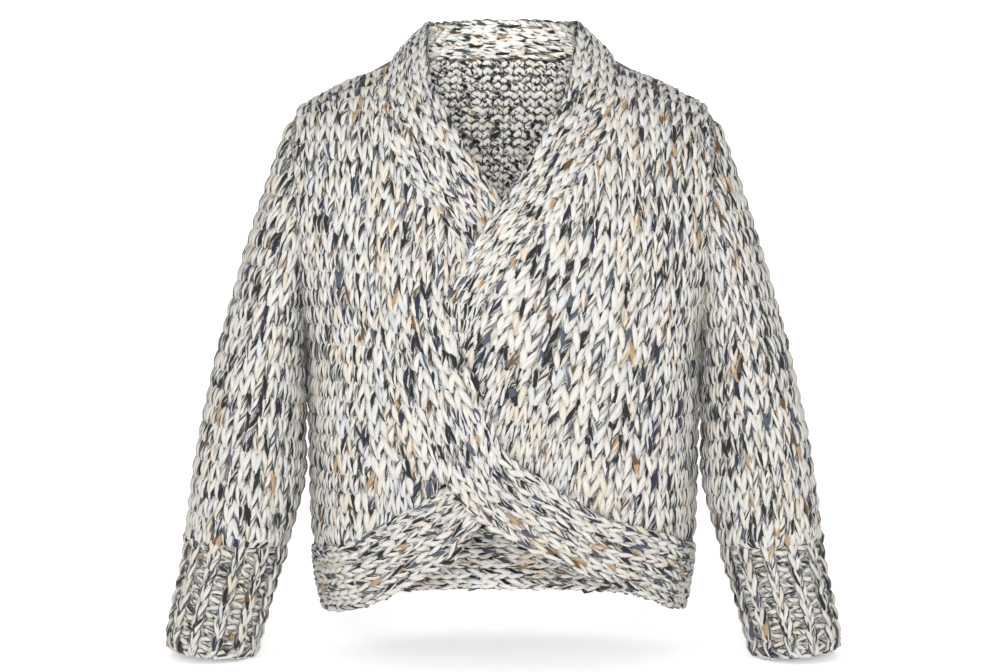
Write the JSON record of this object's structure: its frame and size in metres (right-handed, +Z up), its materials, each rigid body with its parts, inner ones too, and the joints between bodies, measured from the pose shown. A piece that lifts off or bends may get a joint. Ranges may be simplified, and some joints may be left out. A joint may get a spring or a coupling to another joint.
{
  "type": "worn knitted cardigan",
  "caption": "Chunky knitted cardigan in its worn shape: fronts that cross at the bust and curve away, a doubled band round the neck and hem, long sleeves with ribbed cuffs.",
  "frame": {"origin": "the middle of the neck base, on the line of the shoulder seams, where the wearer's shoulders hold the garment", "axes": "+Z up the wearer, -Y to the front, +X to the wearer's left"},
  "size_m": [0.704, 0.2632, 0.6627],
  "materials": {
    "marled_yarn": "matt, bulky cream yarn plied with a dark strand"
  },
  "bodies": {
    "root": {"back": "marled_yarn", "right_front": "marled_yarn", "left_front": "marled_yarn", "right_sleeve": "marled_yarn", "left_sleeve": "marled_yarn", "right_cuff": "marled_yarn", "left_cuff": "marled_yarn", "right_front_band": "marled_yarn", "back_neck_band": "marled_yarn", "left_front_band": "marled_yarn", "over_hem_band": "marled_yarn", "under_hem_band": "marled_yarn", "back_hem_band": "marled_yarn"}
  },
  "joints": []
}
